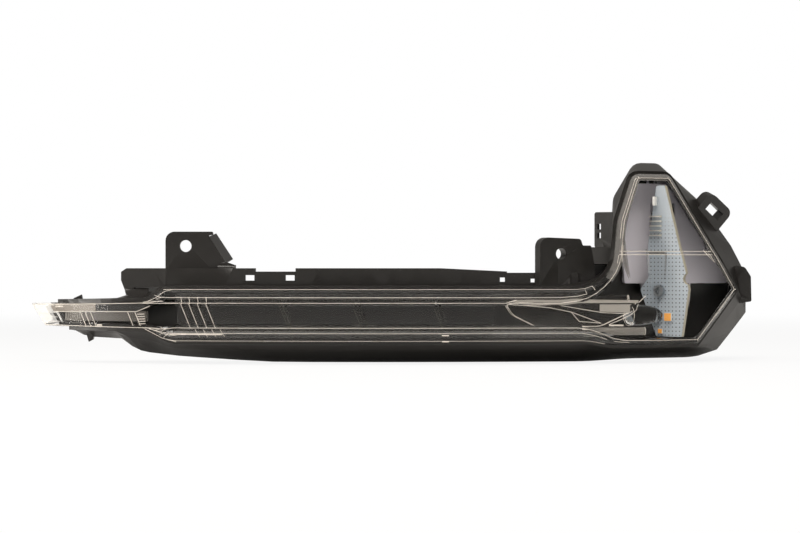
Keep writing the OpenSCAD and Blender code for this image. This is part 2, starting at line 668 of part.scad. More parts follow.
panel_t = 1.4;
panel_end = [185, front_y(185) + back_depth(185) - tub_wall - panel_t - 2.1];
panel_at = [149, front_y(149) + back_depth(149) - tub_wall - panel_t - 0.8];
panel_yaw = atan2(panel_end[1] - panel_at[1], panel_end[0] - panel_at[0]);
panel_top = 21.4;
panel_foot = -12.6;
panel_right = 38.2;
panel_top_right = 14.2;
panel_pads = [[6, 19], [27, -9], [3, -9]];
panel_slot_x = (pin_x - 2.4 - panel_at[0]) / cos(panel_yaw);
panel_slot_w = (socket_out[0] / 2 + 3.6) / cos(panel_yaw);
module on_panel() {
    translate([panel_at[0], panel_at[1], 0])
        rotate([0, 0, panel_yaw])
            children();
}
module panel_pads() {
    for (p = panel_pads)
        let (x = panel_at[0] + p[0] * cos(panel_yaw) - panel_t * sin(panel_yaw),
            y = panel_at[1] + p[0] * sin(panel_yaw) + panel_t * cos(panel_yaw),
            reach = (front_y(x) + back_depth(x) - tub_wall / 2 - y) * cos(panel_yaw))
            on_panel()
                translate([p[0], panel_t + gap, p[1]])
                    rotate([-90, 0, 0])
                        cylinder(h = reach, d = 3, $fn = 24);
}

// Snap hooks on the thin end
upper_hook = [-39.2, -19.4];
lower_hook = [-34.2, -29.4];
module tip_hooks() {
    plate(9, 2)
        translate(upper_hook)
            polygon([[0, 0], [0.6, 1.9], [3.2, 3.1], [3.8, 0]]);
    plate(8, 2.5)
        translate(lower_hook)
            polygon([[0, 0], [0.8, -2.8], [2.3, -2], [2.6, 0]]);
}

// The land has no lip at the outer end, where the lens's clear end stands alone
lip_from = [-44.6, -40.2];
lip_z = [band_top - 0.25, band_top - band_h];
module lip_cuts() {
    translate([tip_x - 5, -5, lip_z[0]])
        cube([lip_from[0] - tip_x + 5, 50, 5]);
    translate([tip_x - 5, -5, lip_z[1] - 5])
        cube([lip_from[1] - tip_x + 5, 50, 5]);
}

module housing() {
    color("#1c1c1e")
    difference() {
        union() {
            tub();
            flange();
            left_ear();
            right_ear();
            clip_loop();
            side_bracket();
            side_tab();
            shelf();
            socket_body();
            vent_boss();
            trim_posts();
            panel_pads();
            tip_hooks();
            for (spot = screw_spots) board_pillar(spot);
        }
        socket_cuts();
        lip_cuts();
        translate([vent_at[0], vent_y + 1, vent_at[1]])
            rotate([90, 0, 0])
                cylinder(h = 6, d = vent_d / 2, $fn = 48);
    }
}

// Black trim seen through the bar: a raised band with a rod on either side
bezel_left = -3;
bezel_right = 134;
bezel_t = 1.3;
bezel_top = band_top + 2.4;
bezel_foot = band_top - band_h - 2.5;
shoulder_depth = bezel_depth - bezel_t;
ridge_depth = shoulder_depth - 5.3;
ridge_top = band_top - 1.2;
ridge_foot = band_top - band_h + 1.1;
ridge_left = bezel_left + 0.6;
ridge_right = 103;
module bar_bezel() {
    color("#232326")
    union() {
        bow_sweep(bezel_left, bezel_right, 0)
            translate([shoulder_depth, bezel_foot])
                square([bezel_t, bezel_top - bezel_foot]);
        bow_sweep(ridge_left, ridge_right, 0)
            polygon([[shoulder_depth + 0.6, ridge_foot - 0.7], [ridge_depth, ridge_foot],
                [ridge_depth, ridge_top], [shoulder_depth + 0.6, ridge_top + 0.6]]);
    }
}

// Grey panel that lines the head behind the board
module head_reflector() {
    color("#9a989f")
    difference() {
        on_panel()
            plate(0, panel_t)
                polygon(rounded([
                    [-1.6, panel_foot, 1], [-2.4, 0, 3], [3, panel_top, 2],
                    [panel_top_right, panel_top, 2], [panel_right, panel_foot, 1]]));
        on_panel()
            plate(-1, panel_t + 2)
                translate([panel_slot_x, pin_mid_z - socket_out[1] / 2 - 0.4])
                    square([panel_slot_w, socket_out[1] + 0.8]);
    }
}

// Light guides. The rods follow the plan curve behind the lens's chamfers
rod_depth = shoulder_depth - rod_d / 2 - 0.7;
upper_rod_z = band_top + 1.2;
lower_rod_z = band_top - band_h - 1.4;
rod_left = -2.6;
upper_rod_right = 147;
lower_rod_right = 152.6;
module rod_run(z, right) {
    bow_sweep(rod_left, right, rod_depth)
        translate([0, z])
            circle(d = rod_d, $fn = 32);
}
bullet_z = band_top - 4.2;
bullet_at = [147.4, front_y(147.4) + 7.57];
bullet_yaw = 26;
module bullet() {
    translate([bullet_at[0], bullet_at[1], bullet_z])
        rotate([0, 0, bullet_yaw])
            rotate([0, 90, 0])
                rotate_extrude($fn = 64)
                    polygon(concat([[0, 0], [bullet_d / 2, 0]],
                        [for (a = [15 : 15 : 75]) [bullet_d / 2 * cos(a), 3 + (bullet_l - 3) * sin(a)]],
                        [[0.4, bullet_l], [0, bullet_l]]));
}

// Slanted blades that hang from the upper rod before the trim's ridge: a group at the left, then pairs
blade_left = -0.3;
blade_pairs = [32.2, 56.4, 82.6];
blade_pair_pitch = 1.2;
blade_rear = ridge_depth - 0.4;
blade_front = blade_rear - 1;
blade_foot = ridge_foot + 0.4 - upper_rod_z;
blade_xs = concat([for (k = [0 : blade_count - 1]) blade_left + k * blade_pitch],
    [for (x = blade_pairs) each [x, x + blade_pair_pitch]]);
module blades() {
    for (x = blade_xs)
        translate([x, front_y(x), upper_rod_z])
            rotate([0, -blade_turn, 0])
                translate([-blade_t / 2, 0, 0])
                    rotate([90, 0, 90])
                        linear_extrude(blade_t)
                            polygon([[rod_depth, 0.6], [rod_depth, -0.6], [blade_rear + 1.4, -1.9],
                                [blade_rear, -2.6], [blade_rear, blade_foot], [blade_front, blade_foot],
                                [blade_front, -2.6], [rod_depth - 2.5, -0.8], [rod_depth - 1.1, 0.6]]);
}

// Flat horn that spreads the collimator's light into the rod
horn_at = [104, front_y(104) + 5];
horn_yaw = 11.4;
horn_t = 2.4;
horn_l = (bullet_at[0] - horn_at[0]) / cos(horn_yaw) + 2.6;
horn_h = 7.8;
horn_heel = 12.6;
horn_toe = 12.4;
module horn() {
    translate([horn_at[0], horn_at[1], band_top])
        rotate([0, 0, horn_yaw])
            plate(0, horn_t)
                polygon(rounded([[2.2, -0.3, 0.8], [6.5, 0.9, 3], [horn_l, 0.7, 0.6],
                    [horn_l - 1.5, -0.36 * horn_h, 2], [horn_l - horn_toe, -horn_h, 6],
                    [horn_heel, -horn_h, 5], [horn_heel - 8, -0.51 * horn_h, 4]], 4));
}
module upper_light_guide() {
    color("whitesmoke", 0.5)
    union() {
        rod_run(upper_rod_z, upper_rod_right);
        blades();
        bullet();
        horn();
    }
}
module lower_light_guide() {
    color("whitesmoke", 0.5)
    rod_run(lower_rod_z, lower_rod_right);
}

tip_guide_depth = 2.8;
tip_guide_t = 1.8;
tip_guide_z = [band_top - band_h + 2, band_top - 2.7];
tip_guide_left = -40.6;
module tip_light_guide() {
    color("whitesmoke", 0.5)
    union() {
        tip_sweep(tip_guide_left, -12, tip_guide_depth)
            translate([0, tip_guide_z[0]])
                square([tip_guide_t, tip_guide_z[1] - tip_guide_z[0]]);
        for (k = [0 : flute_count - 1])
            let (r = tip_bend_r - tip_guide_depth,
                a = asin((tip_guide_left + 0.8 - tip_c[0]) / r) + k * flute_pitch / r * 180 / PI)
                translate([tip_c[0] + r * sin(a), tip_c[1] - r * cos(a), tip_guide_z[0]])
                    cylinder(h = tip_guide_z[1] - tip_guide_z[0], d = 0.6, $fn = 16);
    }
}

// Circuit board and what is on it
module circuit_board() {
    color("#8fa3ad")
    difference() {
        on_board()
            plate(0, board_t)
                difference() {
                    polygon(rounded(board_outline, 4));
                    translate([board_right, -11])
                        circle(d = 4, $fn = 32);
                }
        on_board()
            for (s = screw_spots)
                translate([s[0], -1, s[1]])
                    rotate([-90, 0, 0])
                        cylinder(h = board_t + 2, d = screw_d + 2 * gap, $fn = 32);
        for (z = pin_zs)
            plate(5, 20)
                translate([pin_x, z])
                    square(pin_t + gap, center = true);
    }
}

// Flat piece of the given size on the board's face, and on its rear
module chip(at, size, h) {
    on_board()
        translate([at[0] - size[0] / 2, -h - gap / 2, at[1] - size[1] / 2])
            cube([size[0], h, size[1]]);
}
module rear_chip(at, size, h) {
    on_board()
        translate([at[0] - size[0] / 2, board_t + gap / 2, at[1] - size[1] / 2])
            cube([size[0], h, size[1]]);
}
module led(at, w, tint) {
    color(tint)
    union() {
        chip(at, [w, w], led_h);
        on_board()
            translate([at[0], -led_h - gap / 2 + 0.2, at[1]])
                rotate([90, 0, 0])
                    cylinder(h = 0.5, d = w * 0.72, $fn = 32);
    }
}
small_chip = [2, 1.25];
resistor_size = [1.6, 0.8];
chip_row = -3.4;
resistor_x = 3.6;
resistor_z = -13.4;
resistor_pitch = 1.8;
module resistor(k) {
    color("#1b1b1d")
    rear_chip([resistor_x, resistor_z - k * resistor_pitch], resistor_size, 0.5);
}
module main_led() { led([0, -23.8], led_w, "orange"); }
module lower_led() { led([-2.9, -28.6], led_w * 0.6, "orange"); }
module head_led() { color("white") chip([-5, 15.2], [0.9, 3], 1.4); }
module driver_chip() { color("#202022") rear_chip([1.6, -8.4], [4.2, 3.4], 1.2); }
module input_diode() { color("#202022") rear_chip([-4.8, -8.8], [2.6, 1.7], 1); }
module capacitor_1() { color("#b59a73") rear_chip([1.6, chip_row], small_chip, 1); }
module capacitor_2() { color("#b59a73") rear_chip([-2.4, chip_row], small_chip, 1); }
module resistor_1() { resistor(0); }
module resistor_2() { resistor(1); }
module resistor_3() { resistor(2); }

header_y = [socket_root_y - 3.6, socket_root_y - 1.4];
module pin_header() {
    color("#19191b")
    difference() {
        plate(header_y[0], header_y[1] - header_y[0])
            translate([pin_x - 0.2, pin_mid_z])
                square([3.6, pin_row + 3], center = true);
        for (z = pin_zs)
            plate(header_y[0] - 1, 4)
                translate([pin_x, z])
                    square(pin_t + gap / 2, center = true);
    }
}
pin_foot = 4;
module connector_pins() {
    x = (pin_x - board_at[0]) / cos(board_yaw);
    y = board_point(x)[1];
    color("#c9c4b8")
    for (z = pin_zs)
        union() {
            plate(y - 0.6, socket_floor_y + 3.4 - y + 0.6)
                translate([pin_x, z])
                    square(pin_t, center = true);
            on_board()
                translate([x - pin_foot, -0.75, z - pin_t / 2 + gap / 2])
                    cube([pin_foot, pin_t, pin_t - gap]);
        }
}

module board_screws() {
    color("#b8b8bc")
    on_board()
        for (s = screw_spots)
            translate([s[0], 0, s[1]])
                rotate([-90, 0, 0])
                    difference() {
                        translate([0, 0, -1.4 - gap / 2])
                            union() {
                                cylinder(h = 1.4, d = screw_d * 1.9, $fn = 32);
                                cylinder(h = 1.4 + board_t + screw_bite, d = screw_d, $fn = 32);
                            }
                        translate([0, 0, -2])
                            linear_extrude(1.2)
                                union() {
                                    square([2, 0.5], center = true);
                                    square([0.5, 2], center = true);
                                }
                    }
}

module vent_membrane() {
    color("#e4e2dc")
    translate([vent_at[0], vent_y + 0.4 + gap / 2, vent_at[1]])
        rotate([90, 0, 0])
            cylinder(h = 0.4, d = vent_d, $fn = 64);
}

housing();
outer_lens();
bar_bezel();
head_reflector();
upper_light_guide();
lower_light_guide();
tip_light_guide();
circuit_board();
main_led();
lower_led();
head_led();
driver_chip();
input_diode();
capacitor_1();
capacitor_2();
resistor_1();
resistor_2();
resistor_3();
pin_header();
connector_pins();
board_screws();
vent_membrane();
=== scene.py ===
# %% [markdown]
# # A turn signal lamp for a door mirror
#
# The lamp is a long, thin bar that wraps round a mirror's cap, with a tall head at its inner end.
# A black moulded tub carries a clear lens, and behind the lens are a black trim, clear light
# guides and a small circuit board. The solids come ready made, each at its real size and place.
# This lesson gives them their finishes, rounds what the light plays on, and adds the finest
# pieces.

# %% Load the lamp's solids
import math

import bmesh
import bpy
from mathutils import Matrix, Vector


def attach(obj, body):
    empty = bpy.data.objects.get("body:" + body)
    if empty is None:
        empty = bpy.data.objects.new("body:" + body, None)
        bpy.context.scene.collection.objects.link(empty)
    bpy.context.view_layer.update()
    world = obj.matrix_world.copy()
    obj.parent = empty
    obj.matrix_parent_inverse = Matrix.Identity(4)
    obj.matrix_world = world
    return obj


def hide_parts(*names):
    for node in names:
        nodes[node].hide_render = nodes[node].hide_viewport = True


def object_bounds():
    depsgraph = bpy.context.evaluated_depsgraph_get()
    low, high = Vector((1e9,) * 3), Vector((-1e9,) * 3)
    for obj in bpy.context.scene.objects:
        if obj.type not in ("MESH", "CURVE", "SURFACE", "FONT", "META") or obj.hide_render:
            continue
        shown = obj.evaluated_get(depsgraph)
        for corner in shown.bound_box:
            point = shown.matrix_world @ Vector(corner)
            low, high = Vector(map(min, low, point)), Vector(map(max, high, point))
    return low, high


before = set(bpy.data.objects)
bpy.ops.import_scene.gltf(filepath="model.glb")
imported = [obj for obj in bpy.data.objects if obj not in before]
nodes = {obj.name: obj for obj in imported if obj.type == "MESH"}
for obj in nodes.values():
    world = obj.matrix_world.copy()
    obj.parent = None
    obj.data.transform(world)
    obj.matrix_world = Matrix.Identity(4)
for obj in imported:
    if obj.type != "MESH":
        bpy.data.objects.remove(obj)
solid_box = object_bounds()
MM = 0.001
print("solids:", len(nodes), "box:", solid_box)

# %% [markdown]
# ## Where things are
#
# Seen from above, the lamp's front follows three arcs that run into each other: a tight bend for
# the thin end, a long bow, and a wide bend for the head. With the arcs' centres known, any place
# on the photograph's frame can be turned into a point at a chosen depth behind the lamp's front.

# %% Plan curve and the photograph's frame
bow_radius, thin_end_radius, head_radius = 420.0, 78.0, 130.0
crown_x, crown_depth = 63.5, 20.0
thin_end_x, head_x = -4.0, 124.0
eye = Vector((71.5, -750.0, -6.83))
frame_w, frame_h, frame_mm = 800, 533, 266.7

def arc_centre(bend_x, radius):
    turn = math.asin((bend_x - crown_x) / bow_radius)
    reach = bow_radius - radius
    return crown_x + reach * math.sin(turn), bow_radius - crown_depth - reach * math.cos(turn)

thin_end_centre = arc_centre(thin_end_x, thin_end_radius)
head_centre = arc_centre(head_x, head_radius)

def front_y(x):
    centre, radius = (crown_x, bow_radius - crown_depth), bow_radius
    if x < thin_end_x:
        centre, radius = thin_end_centre, thin_end_radius
    elif x > head_x:
        centre, radius = head_centre, head_radius
    return centre[1] - math.sqrt(radius ** 2 - (x - centre[0]) ** 2)

def squareness(x):
    """How square the lamp's front is to the viewer at x: 1 where it faces straight ahead."""
    step = 0.01
    slope = (front_y(x + step) - front_y(x - step)) / (2 * step)
    return 1 / math.sqrt(1 + slope ** 2)

def behind_front(depth):
    """A surface that lies the given depth behind the lamp's front."""
    return lambda x: front_y(x) + depth / squareness(x)

def photo_point(px, py, surface):
    """The point of a surface that the camera sees at a place of the frame."""
    y = 0.0
    for _ in range(20):  # x depends on y and y on x, and both settle within a few rounds
        scale = frame_mm / frame_w * (y - eye.y) / -eye.y
        x = eye.x + (px - frame_w / 2) * scale
        z = eye.z - (py - frame_h / 2) * scale
        y = surface(x)
    return Vector((x, y, z))

def frame_place(point):
    """The place of the frame at which the camera sees a point."""
    scale = frame_mm / frame_w * (point.y - eye.y) / -eye.y
    return frame_w / 2 + (point.x - eye.x) / scale, frame_h / 2 - (point.z - eye.z) / scale

print("front of the bar at px 400, 300:", photo_point(400, 300, behind_front(0)))

# %% [markdown]
# ## The camera
#
# The photograph was taken from straight ahead, level with the lamp, and from some distance, so
# little of the perspective shows. A long focal length at three quarters of a metre gives the same
# view.

# %% Camera
sensor_mm = 36.0
camera_data = bpy.data.cameras.new("camera")
camera_data.sensor_width = sensor_mm
camera_data.lens = sensor_mm * -eye.y / frame_mm
camera = bpy.data.objects.new("camera", camera_data)
bpy.context.scene.collection.objects.link(camera)
camera.location = eye * MM
camera.rotation_euler = (math.radians(90), 0, 0)
bpy.context.scene.camera = camera
print("focal length:", round(camera_data.lens, 1))

# %% [markdown]
# ## Floor, surroundings and lamps
#
# A product on white stands before a pale backdrop, under a soft lamp, while the room on the
# photographer's side is dim. Polished black plastic shows just that: its faces that look at the
# camera stay black, and those that turn away pick up the backdrop and go grey. So the world here
# is brighter behind the lamp, and dim in front and overhead. Where the camera looks at it, it is
# plain white. The floor is a pale sheet that turns to plain white with distance, and it keeps a
# part of the shadow. A second, weaker lamp from the left lights the faces that turn that way.

# %% Helpers for shader trees
def link(tree, a, b):
    tree.links.new(a, b)

def maths(tree, operation, *values):
    """One Math node. Each value is a number or another node's output."""
    node = tree.nodes.new("ShaderNodeMath")
    node.operation = operation
    for socket, value in zip(node.inputs, values):
        if isinstance(value, (int, float)):
            socket.default_value = value
        else:
            link(tree, value, socket)
    return node.outputs[0]

def ramp(tree, value, start, end, low, high):
    """Goes softly from low, where the value is start, to high, where it is end."""
    node = tree.nodes.new("ShaderNodeMapRange")
    node.interpolation_type = "SMOOTHSTEP"
    labels = ("From Min", "From Max", "To Min", "To Max")
    for label, number in zip(labels, (start, end, low, high)):
        if isinstance(number, (int, float)):
            node.inputs[label].default_value = number
        else:
            link(tree, number, node.inputs[label])
    link(tree, value, node.inputs["Value"])
    return node.outputs["Result"]

def deselect():
    if bpy.context.object and bpy.context.object.mode != "OBJECT":
        bpy.ops.object.mode_set(mode="OBJECT")
    bpy.ops.object.select_all(action="DESELECT")

# %% Floor
floor_gap = 0.4 * MM
floor_z = solid_box[0][2] - floor_gap
deselect()
bpy.ops.mesh.primitive_plane_add(size=6.0, location=(0, 0, floor_z))
floor = bpy.context.object
floor.name = "floor"
floor_finish = bpy.data.materials.new("floor_sheet")
floor_finish.use_nodes = True
tree = floor_finish.node_tree
sheet = tree.nodes["Principled BSDF"]
sheet.inputs["Base Color"].default_value = (0.86, 0.86, 0.86, 1)
sheet.inputs["Roughness"].default_value = 0.7
place = tree.nodes.new("ShaderNodeTexCoord")
distance = tree.nodes.new("ShaderNodeVectorMath")
distance.operation = "LENGTH"
link(tree, place.outputs["Object"], distance.inputs[0])
share = ramp(tree, distance.outputs["Value"], 0.25, 0.9, 0.86, 1.0)
path = tree.nodes.new("ShaderNodeLightPath")
white = tree.nodes.new("ShaderNodeEmission")
blend = tree.nodes.new("ShaderNodeMixShader")
link(tree, maths(tree, "MULTIPLY", path.outputs["Is Camera Ray"], share), blend.inputs["Fac"])
link(tree, sheet.outputs[0], blend.inputs[1])
link(tree, white.outputs[0], blend.inputs[2])
link(tree, blend.outputs[0], tree.nodes["Material Output"].inputs["Surface"])
floor.data.materials.append(floor_finish)
print("floor at", round(floor_z, 4))

# %% World
world = bpy.data.worlds.new("studio")
bpy.context.scene.world = world
world.use_nodes = True
tree = world.node_tree
around = tree.nodes.new("ShaderNodeTexCoord")
split = tree.nodes.new("ShaderNodeSeparateXYZ")
link(tree, around.outputs["Generated"], split.inputs[0])
upward = maths(tree, "MAXIMUM", split.outputs["Z"], 0.0)
behind = maths(tree, "SUBTRACT", split.outputs["Y"], maths(tree, "MULTIPLY", upward, 0.9))
bright = ramp(tree, behind, -0.75, -0.1, 0.05, 0.3)
path = tree.nodes.new("ShaderNodeLightPath")
link(tree, ramp(tree, path.outputs["Is Camera Ray"], 0.0, 1.0, bright, 1.0),
     tree.nodes["Background"].inputs["Strength"])
tint = tree.nodes.new("ShaderNodeMix")
tint.data_type = "RGBA"
tint.inputs["A"].default_value = (1, 0.965, 0.91, 1)
tint.inputs["B"].default_value = (1, 1, 1, 1)
link(tree, path.outputs["Is Camera Ray"], tint.inputs["Factor"])
link(tree, tint.outputs["Result"], tree.nodes["Background"].inputs["Color"])
print("world:", world.name)

# %% Lamps
def soft_lamp(name, place, aim, size, watts):
    data = bpy.data.lights.new(name, "AREA")
    data.shape = "RECTANGLE"
    data.size, data.size_y = size
    data.energy = watts
    data.color = (1, 0.96, 0.9)
    lamp = bpy.data.objects.new(name, data)
    bpy.context.scene.collection.objects.link(lamp)
    lamp.visible_transmission = False
    lamp.location = place
    lamp.rotation_euler = (Vector(aim) - Vector(place)).to_track_quat("-Z", "Y").to_euler()

soft_lamp("top_softbox", (0.1, -0.42, 0.72), (0.07, 0, 0), (0.9, 0.35), 8.5)
soft_lamp("left_softbox", (-0.85, -0.3, 0.2), (0.07, 0, 0), (0.4, 0.6), 8.0)
bpy.context.scene.view_settings.view_transform = "Standard"

# %% [markdown]
# ## Effects that several finishes share
#
# Moulded plastic is never quite even: it has a fine grain from the tool, its gloss wanders a
# little, and dust and handling leave pale specks. Each effect is one node group, built once, that
# puts out a mask or a normal, and every finish uses it with its own numbers.

# %% Shader groups: grain, wandering gloss and specks
def new_group(name, inputs, outputs):
    group = bpy.data.node_groups.new(name, "ShaderNodeTree")
    for label, kind, value in inputs:
        socket = group.interface.new_socket(label, in_out="INPUT", socket_type=kind)
        if value is not None:
            socket.default_value = value
    for label, kind in outputs:
        group.interface.new_socket(label, in_out="OUTPUT", socket_type=kind)
    return group, group.nodes.new("NodeGroupInput"), group.nodes.new("NodeGroupOutput")

def moulding_grain_group():
    """A fine, even bump, as left by the eroded steel of the tool."""
    group, start, end = new_group("moulding_grain", [
        ("Scale", "NodeSocketFloat", 2500.0), ("Strength", "NodeSocketFloat", 0.1)],
        [("Normal", "NodeSocketVector")])
    place = group.nodes.new("ShaderNodeTexCoord")
    noise = group.nodes.new("ShaderNodeTexNoise")
    noise.inputs["Detail"].default_value = 3
    bump = group.nodes.new("ShaderNodeBump")
    bump.inputs["Distance"].default_value = 0.00005
    link(group, place.outputs["Object"], noise.inputs["Vector"])
    link(group, start.outputs["Scale"], noise.inputs["Scale"])
    link(group, noise.outputs["Fac"], bump.inputs["Height"])
    link(group, start.outputs["Strength"], bump.inputs["Strength"])
    link(group, bump.outputs["Normal"], end.inputs["Normal"])
    return group

def wandering_gloss_group():
    """Roughness that drifts between two values in soft patches."""
    group, start, end = new_group("wandering_gloss", [
        ("Scale", "NodeSocketFloat", 60.0), ("Least", "NodeSocketFloat", 0.3),
        ("Most", "NodeSocketFloat", 0.45)], [("Roughness", "NodeSocketFloat")])
    place = group.nodes.new("ShaderNodeTexCoord")
    noise = group.nodes.new("ShaderNodeTexNoise")
    noise.inputs["Detail"].default_value = 1
    spread = group.nodes.new("ShaderNodeMapRange")
    spread.inputs["From Min"].default_value = 0.3
    spread.inputs["From Max"].default_value = 0.7
    link(group, place.outputs["Object"], noise.inputs["Vector"])
    link(group, start.outputs["Scale"], noise.inputs["Scale"])
    link(group, noise.outputs["Fac"], spread.inputs["Value"])
    link(group, start.outputs["Least"], spread.inputs["To Min"])
    link(group, start.outputs["Most"], spread.inputs["To Max"])
    link(group, spread.outputs["Result"], end.inputs["Roughness"])
    return group

def speck_group():
    """A mask of small scattered specks, 1 where dust lies."""
    group, start, end = new_group("specks", [
        ("Scale", "NodeSocketFloat", 700.0), ("Amount", "NodeSocketFloat", 0.1)],
        [("Mask", "NodeSocketFloat")])
    place = group.nodes.new("ShaderNodeTexCoord")
    cells = group.nodes.new("ShaderNodeTexVoronoi")
    where = group.nodes.new("ShaderNodeTexNoise")
    where.inputs["Scale"].default_value = 90
    link(group, place.outputs["Object"], cells.inputs["Vector"])
    link(group, place.outputs["Object"], where.inputs["Vector"])
    link(group, start.outputs["Scale"], cells.inputs["Scale"])
    size = maths(group, "MULTIPLY", where.outputs["Fac"], start.outputs["Amount"])
    link(group, maths(group, "LESS_THAN", cells.outputs["Distance"], size), end.inputs["Mask"])
    return group

grain_group = moulding_grain_group()
gloss_group = wandering_gloss_group()
specks_group = speck_group()
print("groups:", [g.name for g in bpy.data.node_groups])

# %% [markdown]
# ## The finishes
#
# The tub is black plastic with a satin face, the trim is smooth black, and the lens and the
# guides are clear acrylic. Clear plastic bends light, so a plain lamp's shadow ray would stop at
# it and leave the inside dark. Each clear finish therefore lets shadow and diffuse rays through,
# as a thin clear wall nearly does. The cream, milky, smoky, grey and frosted finishes are the same
# plastic with less of it clear, and their tone is painted light: the cream and milky ones paint
# highlights and light, the frosted end painted light, the grey rim a painted sheen, and the smoky
# one painted shade.

# %% Helpers for finishes
def new_finish(name):
    finish = bpy.data.materials.new(name)
    finish.use_nodes = True
    return finish, finish.node_tree, finish.node_tree.nodes["Principled BSDF"]

def place_group(tree, group, **values):
    node = tree.nodes.new("ShaderNodeGroup")
    node.node_tree = group
    for label, value in values.items():
        node.inputs[label].default_value = value
    return node

def blend_colours(tree, mask, below, above):
    """Colour below where the mask is 0 and above where it is 1."""
    mix = tree.nodes.new("ShaderNodeMix")
    mix.data_type = "RGBA"
    link(tree, mask, mix.inputs["Factor"])
    for socket, colour in ((mix.inputs["A"], below), (mix.inputs["B"], above)):
        if isinstance(colour, tuple):
            socket.default_value = colour + (1,)
        else:
            link(tree, colour, socket)
    return mix.outputs["Result"]

# %% Moulded plastics
dust_colour = (0.3, 0.29, 0.27)

def plastic(name, colour, least, most, grain, grain_scale=2500.0, dust=0.05, drift=0.25):
    """Its roughness lies between least and most, and its colour drifts up by a small share."""
    finish, tree, shader = new_finish(name)
    gloss = place_group(tree, gloss_group, Scale=60.0, Least=least, Most=most)
    link(tree, gloss.outputs["Roughness"], shader.inputs["Roughness"])
    bump = place_group(tree, grain_group, Scale=grain_scale, Strength=grain)
    link(tree, bump.outputs["Normal"], shader.inputs["Normal"])
    place = tree.nodes.new("ShaderNodeTexCoord")
    cloud = tree.nodes.new("ShaderNodeTexNoise")
    cloud.inputs["Scale"].default_value = 45
    link(tree, place.outputs["Object"], cloud.inputs["Vector"])
    lighter = tuple(min(1, c * (1 + drift) + 0.002) for c in colour)
    tint = blend_colours(tree, cloud.outputs["Fac"], colour, lighter)
    specks = place_group(tree, specks_group, Scale=800.0, Amount=dust)
    dusty = blend_colours(tree, specks.outputs["Mask"], tint, dust_colour)
    link(tree, dusty, shader.inputs["Base Color"])
    return finish

tub_black = plastic("tub_black", (0.0125, 0.0113, 0.0104), 0.28, 0.34, 0.08)
trim_black = plastic("trim_black", (0.008, 0.0075, 0.0074), 0.3, 0.33, 0.0, dust=0.0)
panel_grey = plastic("panel_grey", (0.54, 0.52, 0.57), 0.42, 0.55, 0.05, dust=0.0)
chip_black = plastic("chip_black", (0.02, 0.02, 0.021), 0.45, 0.6, 0.3, 6000.0, dust=0.0)
header_black = plastic("header_black", (0.016, 0.016, 0.017), 0.35, 0.5, 0.2, dust=0.0)
fleece_white = plastic("fleece_white", (0.75, 0.74, 0.7), 0.8, 0.95, 0.8, 1500.0, dust=0.0)
package_white = plastic("package_white", (0.8, 0.79, 0.76), 0.35, 0.5, 0.1, dust=0.0, drift=0.05)
silicone_amber = plastic("silicone_amber", (0.85, 0.36, 0.05), 0.25, 0.4, 0.1, dust=0.0, drift=0.15)
foil_beige = plastic("foil_beige", (0.2, 0.175, 0.15), 0.3, 0.45, 0.05, dust=0.0)
ceramic_tan = plastic("ceramic_tan", (0.36, 0.25, 0.15), 0.4, 0.55, 0.2, 6000.0, dust=0.0)
print("after the plastics:", len(bpy.data.materials), "finishes")

# %% Clear acrylic
def let_light_in(tree, shader):
    """Shadow and diffuse rays pass a clear wall, so that the lamps reach what is behind it."""
    path = tree.nodes.new("ShaderNodeLightPath")
    through = tree.nodes.new("ShaderNodeBsdfTransparent")
    through.inputs["Color"].default_value = (0.94, 0.94, 0.94, 1)
    both = tree.nodes.new("ShaderNodeMixShader")
    rays = path.outputs["Is Shadow Ray"], path.outputs["Is Diffuse Ray"]
    link(tree, maths(tree, "MAXIMUM", *rays), both.inputs["Fac"])
    link(tree, shader.outputs[0], both.inputs[1])
    link(tree, through.outputs[0], both.inputs[2])
    link(tree, both.outputs[0], tree.nodes["Material Output"].inputs["Surface"])

def clear_acrylic(name, tint, least, most, clear=1.0, ior=1.49):
    """The share called clear lets light through, and the rest of the body is milky."""
    finish, tree, shader = new_finish(name)
    shader.inputs["Transmission Weight"].default_value = clear
    shader.inputs["IOR"].default_value = ior
    gloss = place_group(tree, gloss_group, Scale=80.0, Least=least, Most=most)
    link(tree, gloss.outputs["Roughness"], shader.inputs["Roughness"])
    place = tree.nodes.new("ShaderNodeTexCoord")
    cloud = tree.nodes.new("ShaderNodeTexNoise")
    cloud.inputs["Scale"].default_value = 30
    link(tree, place.outputs["Object"], cloud.inputs["Vector"])
    paler = tuple(min(1, c * 1.03) for c in tint)
    link(tree, blend_colours(tree, cloud.outputs["Fac"], tint, paler), shader.inputs["Base Color"])
    let_light_in(tree, shader)
    return finish

lens_clear = clear_acrylic("lens_clear", (0.97, 0.97, 0.965), 0.0, 0.015, 1.0, 1.14)
# Painted highlight: the cream finish of the bright creases, ribs, lines and glints.
cream_painted_highlight = clear_acrylic("cream_painted_highlight", (0.8, 0.74, 0.67), 0.2, 0.32, 0.25)
guide_clear = clear_acrylic("guide_clear", (0.9, 0.89, 0.87), 0.09, 0.11, 1.0, 1.25)
# Painted light: the pale cream finish of the faces on the horn.
horn_painted_light = clear_acrylic("horn_painted_light", (0.5, 0.47, 0.43), 0.15, 0.25, 0.4)
# Painted light: a milky finish for the guides' ends and the faint lines.
milky_painted_light = clear_acrylic("milky_painted_light", (0.27, 0.252, 0.23), 0.15, 0.25, 0.4)
# Painted shade: a smoky finish for the rest of the tip's guide.
smoky_painted_shade = clear_acrylic("smoky_painted_shade", (0.12, 0.109, 0.1), 0.15, 0.25, 0.4)
# Painted sheen: a grey, half-milky finish for the lens's rim in the head.
rim_painted_sheen = clear_acrylic("rim_painted_sheen", (0.3, 0.288, 0.275), 0.1, 0.2, 0.7, 1.14)
# Painted light: a pale, half-frosted finish for the lens's clear end at the thin tip.
frost_painted_light = clear_acrylic("frost_painted_light", (0.9, 0.89, 0.87), 0.3, 0.4, 0.5, 1.14)
print("after the clear ones:", len(bpy.data.materials), "finishes")

